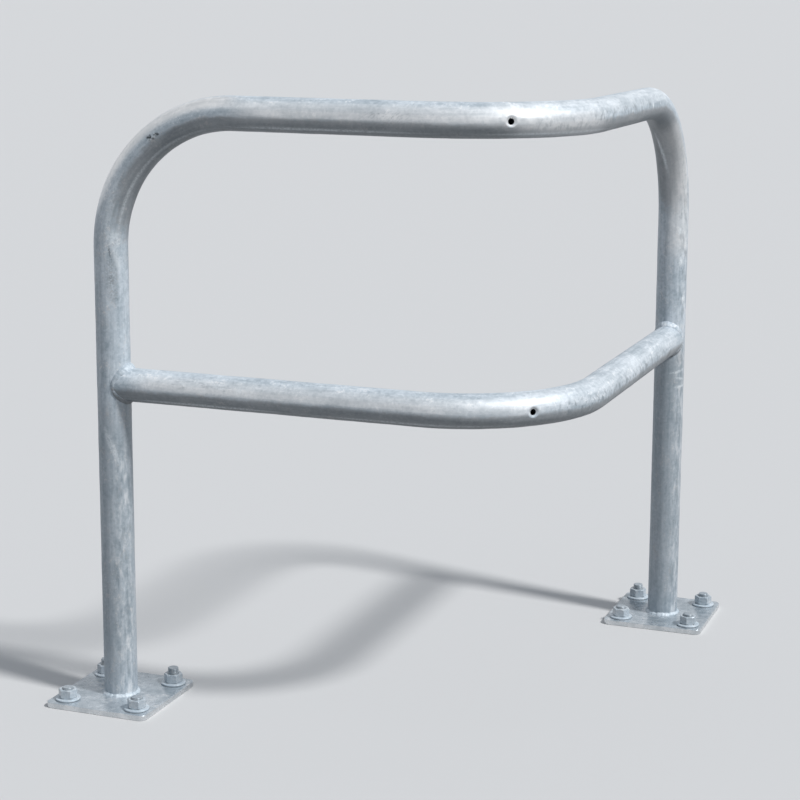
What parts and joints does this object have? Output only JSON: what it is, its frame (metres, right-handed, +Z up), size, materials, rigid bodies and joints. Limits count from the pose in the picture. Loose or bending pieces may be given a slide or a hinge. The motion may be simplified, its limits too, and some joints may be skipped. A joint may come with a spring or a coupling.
{
  "type": "corner safety railing",
  "caption": "L-shaped safety railing of bent steel tube with a mid rail, standing on bolted base plates round the outside of a corner.",
  "frame": {"origin": "centre of the underside of the left base plate, at ground level, on the left post's axis", "axes": "+X along the left leg to the corner, +Y along the right leg away from the corner, +Z up"},
  "size_m": [1.015, 1.015, 1.1],
  "materials": {
    "galvanised_tube": "hot-dip galvanised, dull, mottled",
    "galvanised_plate": "hot-dip galvanised, dull, mottled",
    "galvanised_weld": "galvanised weld bead, rippled",
    "zinc_nut": "zinc coated, satin",
    "zinc_washer": "zinc coated, satin",
    "zinc_stud": "zinc coated thread"
  },
  "bodies": {
    "root": {"hoop_tube": "galvanised_tube", "mid_rail": "galvanised_tube", "left_base_plate": "galvanised_plate", "left_foot_weld": "galvanised_weld", "left_saddle_weld": "galvanised_weld", "left_stud_1": "zinc_stud", "left_washer_1": "zinc_washer", "left_nut_1": "zinc_nut", "left_stud_2": "zinc_stud", "left_washer_2": "zinc_washer", "left_nut_2": "zinc_nut", "left_stud_3": "zinc_stud", "left_washer_3": "zinc_washer", "left_nut_3": "zinc_nut", "left_stud_4": "zinc_stud", "left_washer_4": "zinc_washer", "left_nut_4": "zinc_nut", "right_base_plate": "galvanised_plate", "right_foot_weld": "galvanised_weld", "right_saddle_weld": "galvanised_weld", "right_stud_1": "zinc_stud", "right_washer_1": "zinc_washer", "right_nut_1": "zinc_nut", "right_stud_2": "zinc_stud", "right_washer_2": "zinc_washer", "right_nut_2": "zinc_nut", "right_stud_3": "zinc_stud", "right_washer_3": "zinc_washer", "right_nut_3": "zinc_nut", "right_stud_4": "zinc_stud", "right_washer_4": "zinc_washer", "right_nut_4": "zinc_nut"}
  },
  "joints": []
}
